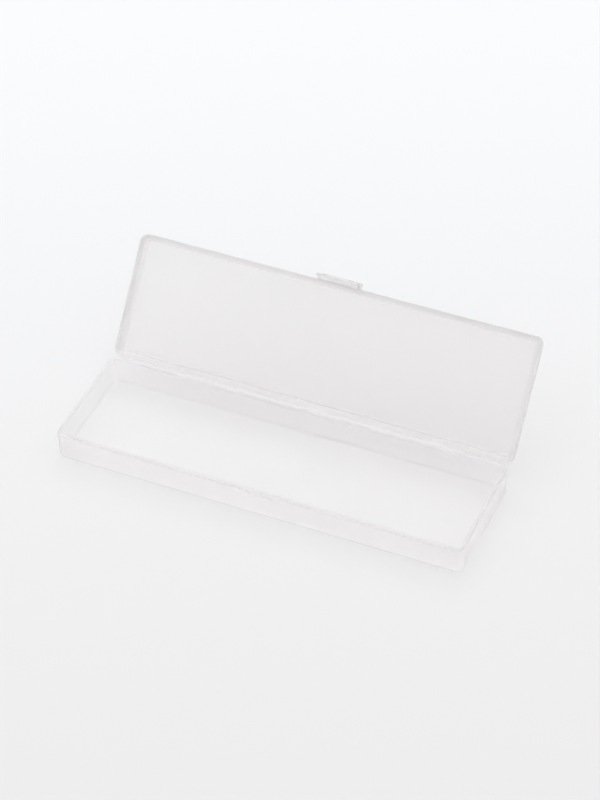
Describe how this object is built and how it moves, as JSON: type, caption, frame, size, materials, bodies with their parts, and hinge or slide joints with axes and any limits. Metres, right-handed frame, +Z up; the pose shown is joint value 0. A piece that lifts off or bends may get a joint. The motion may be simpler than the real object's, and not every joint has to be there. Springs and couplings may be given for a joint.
{
  "type": "pencil case",
  "caption": "Shallow frosted plastic pencil case: rounded rectangular tray, shallow lid on a living hinge along the rear edge, and a spring latch tab at the lid's front.",
  "frame": {"origin": "middle of the flat underside of the tray", "axes": "+X along the case's length, -Y towards the latch side (front), +Y towards the hinge, +Z up out of the open tray"},
  "size_m": [0.184, 0.0968, 0.0582],
  "materials": {
    "tray_plastic": "frosted translucent polypropylene, fine matt texture, softly polished rim",
    "lid_plastic": "frosted translucent polypropylene, fine matt texture on the panel",
    "latch_plastic": "frosted translucent polypropylene, slightly denser where it is thick",
    "hinge_plastic": "thin flexed polypropylene film, brighter and glossier than the walls"
  },
  "bodies": {
    "tray": {"tray": "tray_plastic", "living_hinge": "hinge_plastic"},
    "lid": {"lid": "lid_plastic"},
    "latch": {"latch_tab": "latch_plastic"}
  },
  "joints": [
    {"name": "lid_hinge", "type": "hinge", "parent": "tray", "child": "lid", "pos_m": [0, 0.0276, 0.01235], "axis": [1, 0, 0], "range_deg": [-50, 130]},
    {"name": "latch_flex", "type": "hinge", "parent": "lid", "child": "latch", "pos_m": [0, 0.06721, 0.05092], "axis": [-1, 0, 0], "range_deg": [0, 6], "stiffness_Nm_per_rad": 0.3}
  ]
}
